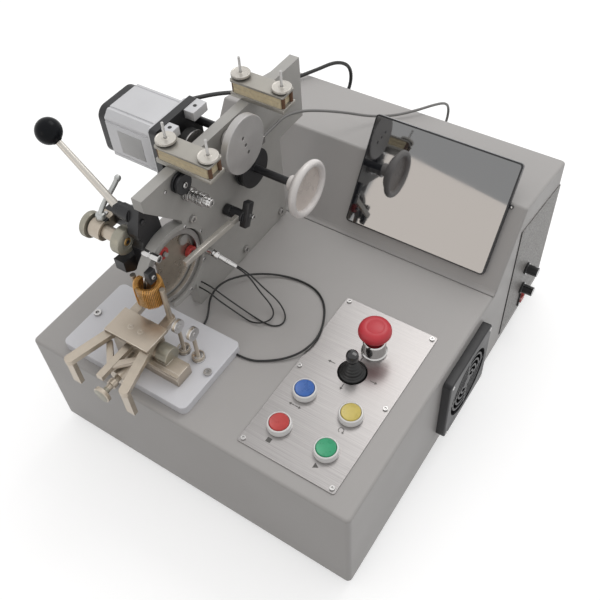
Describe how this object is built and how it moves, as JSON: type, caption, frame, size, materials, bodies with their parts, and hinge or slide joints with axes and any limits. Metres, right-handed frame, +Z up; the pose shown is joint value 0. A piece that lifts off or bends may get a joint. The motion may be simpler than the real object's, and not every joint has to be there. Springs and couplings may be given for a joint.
{
  "type": "toroidal coil winding machine",
  "caption": "Bench winder for ring cores: sloped console with touch screen, push-button plate, winding ring in a head plate with motor, felt wire tensioners, lever and a jaw chuck.",
  "frame": {"origin": "on the table below the middle of the base cabinet", "axes": "+X to the operator's right, +Y to the back, +Z up"},
  "size_m": [0.4852, 0.6601, 0.4564],
  "materials": {
    "powder_coat": "fine satin powder coat, warm light grey",
    "cover_coat": "speckled satin",
    "foot_rubber": "matt",
    "screen": "gloss black with dark glass",
    "panel_steel": "brushed, satin",
    "steel": "turned, satin",
    "bezel": "gloss white",
    "cap_blue": "gloss",
    "cap_yellow": "gloss",
    "cap_red": "gloss",
    "cap_green": "gloss",
    "stop_red": "satin",
    "black_plastic": "satin",
    "black_gloss": "gloss",
    "head_paint": "satin light grey",
    "anodised": "satin anodised",
    "black_metal": "satin black",
    "belt_rubber": "matt",
    "wheel_white": "gloss off-white",
    "felt": "felt between steel plates",
    "chrome": "polished",
    "nickel": "satin nickel, warm",
    "plate_white": "satin white",
    "ferrite": "amber lacquer",
    "copper": "enamelled copper wire",
    "cord_black": "satin",
    "cord_grey": "satin",
    "circuit": "mixed casings"
  },
  "bodies": {
    "machine": {"base_cabinet": "powder_coat", "bottom_plate": "powder_coat", "rubber_feet": "foot_rubber", "console_housing": "powder_coat", "side_cover": "cover_coat", "screen_housing": "screen", "panel_plate": "panel_steel", "screws": "steel", "switch_bodies": "bezel", "fan_housing": "black_plastic", "side_fittings": "black_gloss", "electronics": "circuit", "head_plate": "head_paint", "motor_bracket": "black_metal", "motor_body": "anodised", "motor_cap": "black_plastic", "drive_belt": "belt_rubber", "wire_tensioners": "felt", "ring_housing": "head_paint", "lever_block": "black_metal", "chuck_plate": "plate_white", "chuck_body": "nickel", "ring_core": "ferrite", "core_winding": "copper", "sensor_head": "steel", "cable_glands": "black_plastic", "loop_cord": "cord_black", "sensor_fibres": "cord_black", "sensor_cable": "cord_grey", "motor_cable": "cord_black"},
    "stop_head": {"stop_head": "stop_red"},
    "button_blue": {"button_blue": "cap_blue"},
    "button_yellow": {"button_yellow": "cap_yellow"},
    "button_red": {"button_red": "cap_red"},
    "button_green": {"button_green": "cap_green"},
    "joystick_gimbal": {"joystick_gimbal": "black_plastic"},
    "joystick_stick": {"joystick_stick": "black_gloss"},
    "rocker_button": {"rocker_button": "cap_red"},
    "fan_rotor": {"fan_rotor": "black_plastic"},
    "hand_wheel": {"wheel_shaft": "black_metal", "handwheel": "wheel_white"},
    "motor_shaft": {"motor_pulley": "steel"},
    "winding_ring": {"winding_ring": "steel"},
    "ring_roller_upper": {"ring_roller_upper": "cap_red"},
    "ring_roller_rear": {"ring_roller_rear": "cap_red"},
    "grey_disc": {"grey_disc": "anodised"},
    "wire_pulley": {"wire_pulley": "black_plastic"},
    "chrome_spindle": {"chrome_spindle": "chrome"},
    "thumb_nut_front_left": {"thumb_nut_front_left": "steel"},
    "thumb_nut_front_right": {"thumb_nut_front_right": "steel"},
    "thumb_nut_rear_left": {"thumb_nut_rear_left": "steel"},
    "thumb_nut_rear_right": {"thumb_nut_rear_right": "steel"},
    "swing_arm": {"swing_arm": "nickel"},
    "lever": {"lever": "steel", "lever_ball": "black_gloss"},
    "clamp_handle": {"clamp_handle": "nickel"},
    "front_spindle": {"front_spindle": "nickel"},
    "jaw_left": {"jaw_left": "nickel"},
    "jaw_right": {"jaw_right": "nickel"},
    "chuck_knob": {"chuck_knob": "nickel"}
  },
  "joints": [
    {"name": "stop_push", "type": "slide", "parent": "machine", "child": "stop_head", "axis": [0, 0, -1], "range_m": [0, 0.005], "stiffness_N_per_m": 600, "springref_m": -0.003},
    {"name": "button_blue_push", "type": "slide", "parent": "machine", "child": "button_blue", "axis": [0, 0, -1], "range_m": [0, 0.003], "stiffness_N_per_m": 300, "springref_m": -0.002},
    {"name": "button_yellow_push", "type": "slide", "parent": "machine", "child": "button_yellow", "axis": [0, 0, -1], "range_m": [0, 0.003], "stiffness_N_per_m": 300, "springref_m": -0.002},
    {"name": "button_red_push", "type": "slide", "parent": "machine", "child": "button_red", "axis": [0, 0, -1], "range_m": [0, 0.003], "stiffness_N_per_m": 300, "springref_m": -0.002},
    {"name": "button_green_push", "type": "slide", "parent": "machine", "child": "button_green", "axis": [0, 0, -1], "range_m": [0, 0.003], "stiffness_N_per_m": 300, "springref_m": -0.002},
    {"name": "joystick_tilt_fore_aft", "type": "hinge", "parent": "machine", "child": "joystick_gimbal", "pos_m": [0.139, -0.119, 0.175], "axis": [1, 0, 0], "range_deg": [-12, 12], "stiffness_Nm_per_rad": 0.2},
    {"name": "joystick_tilt_side", "type": "hinge", "parent": "joystick_gimbal", "child": "joystick_stick", "pos_m": [0.139, -0.119, 0.175], "axis": [0, 1, 0], "range_deg": [-12, 12], "stiffness_Nm_per_rad": 0.2},
    {"name": "rocker_tilt", "type": "hinge", "parent": "machine", "child": "rocker_button", "pos_m": [0.2302, 0.208, 0.047], "axis": [0, 1, 0], "range_deg": [-8, 0]},
    {"name": "fan_spin", "type": "hinge", "parent": "machine", "child": "fan_rotor", "pos_m": [0.23, -0.007, 0.1], "axis": [1, 0, 0], "continuous": true},
    {"name": "hand_wheel_spin", "type": "hinge", "parent": "machine", "child": "hand_wheel", "pos_m": [-0.05, -0.006, 0.325], "axis": [1, 0, 0], "continuous": true},
    {"name": "motor_spin", "type": "hinge", "parent": "machine", "child": "motor_shaft", "pos_m": [-0.12, -0.0645, 0.3855], "axis": [1, 0, 0], "continuous": true},
    {"name": "ring_spin", "type": "hinge", "parent": "machine", "child": "winding_ring", "pos_m": [-0.0896, -0.152, 0.273], "axis": [1, 0, 0], "continuous": true},
    {"name": "ring_roller_upper_spin", "type": "hinge", "parent": "machine", "child": "ring_roller_upper", "pos_m": [-0.0896, -0.16241, 0.30505], "axis": [1, 0, 0], "continuous": true},
    {"name": "ring_roller_rear_spin", "type": "hinge", "parent": "machine", "child": "ring_roller_rear", "pos_m": [-0.0896, -0.11881, 0.26715], "axis": [1, 0, 0], "continuous": true},
    {"name": "grey_disc_spin", "type": "hinge", "parent": "machine", "child": "grey_disc", "pos_m": [-0.06, -0.032, 0.384], "axis": [1, 0, 0], "continuous": true},
    {"name": "wire_pulley_spin", "type": "hinge", "parent": "machine", "child": "wire_pulley", "pos_m": [-0.08, -0.121, 0.385], "axis": [1, 0, 0], "continuous": true},
    {"name": "chrome_spindle_spin", "type": "hinge", "parent": "machine", "child": "chrome_spindle", "pos_m": [-0.07, -0.112, 0.362], "axis": [1, 0, 0], "continuous": true},
    {"name": "thumb_nut_front_left_turn", "type": "hinge", "parent": "machine", "child": "thumb_nut_front_left", "pos_m": [-0.1011, -0.107, 0.426], "axis": [0, 0, 1], "continuous": true},
    {"name": "thumb_nut_front_right_turn", "type": "hinge", "parent": "machine", "child": "thumb_nut_front_right", "pos_m": [-0.0431, -0.107, 0.426], "axis": [0, 0, 1], "continuous": true},
    {"name": "thumb_nut_rear_left_turn", "type": "hinge", "parent": "machine", "child": "thumb_nut_rear_left", "pos_m": [-0.1011, 0.031, 0.426], "axis": [0, 0, 1], "continuous": true},
    {"name": "thumb_nut_rear_right_turn", "type": "hinge", "parent": "machine", "child": "thumb_nut_rear_right", "pos_m": [-0.0431, 0.031, 0.426], "axis": [0, 0, 1], "continuous": true},
    {"name": "swing_arm_tilt", "type": "hinge", "parent": "machine", "child": "swing_arm", "pos_m": [-0.06, -0.053, 0.288], "axis": [1, 0, 0], "range_deg": [-15, 20]},
    {"name": "lever_tilt", "type": "hinge", "parent": "machine", "child": "lever", "pos_m": [-0.129, -0.172, 0.364], "axis": [1, 0, 0], "range_deg": [0, 35]},
    {"name": "clamp_handle_turn", "type": "hinge", "parent": "machine", "child": "clamp_handle", "pos_m": [-0.154, -0.181, 0.348], "axis": [0, 0, 1], "range_deg": [0, 40]},
    {"name": "front_spindle_turn", "type": "hinge", "parent": "machine", "child": "front_spindle", "pos_m": [-0.13, -0.187, 0.3335], "axis": [1, 0, 0], "continuous": true},
    {"name": "jaw_left_turn", "type": "hinge", "parent": "machine", "child": "jaw_left", "pos_m": [-0.111, -0.232, 0.232], "axis": [0, 0, 1], "range_deg": [0, 8]},
    {"name": "jaw_right_turn", "type": "hinge", "parent": "machine", "child": "jaw_right", "pos_m": [-0.065, -0.232, 0.232], "axis": [0, 0, 1], "range_deg": [-8, 0]},
    {"name": "chuck_knob_turn", "type": "hinge", "parent": "machine", "child": "chuck_knob", "pos_m": [-0.082, -0.29, 0.206], "axis": [0, 1, 0], "range_deg": [0, 360]}
  ],
  "couplings": [
    {"joint": "motor_spin", "follows": "hand_wheel_spin", "ratio": 1},
    {"joint": "ring_spin", "follows": "hand_wheel_spin", "ratio": 0.5},
    {"joint": "ring_roller_upper_spin", "follows": "hand_wheel_spin", "ratio": 2.625},
    {"joint": "ring_roller_rear_spin", "follows": "hand_wheel_spin", "ratio": 2.625},
    {"joint": "jaw_right_turn", "follows": "jaw_left_turn", "ratio": -1},
    {"joint": "chuck_knob_turn", "follows": "jaw_left_turn", "ratio": 45}
  ]
}
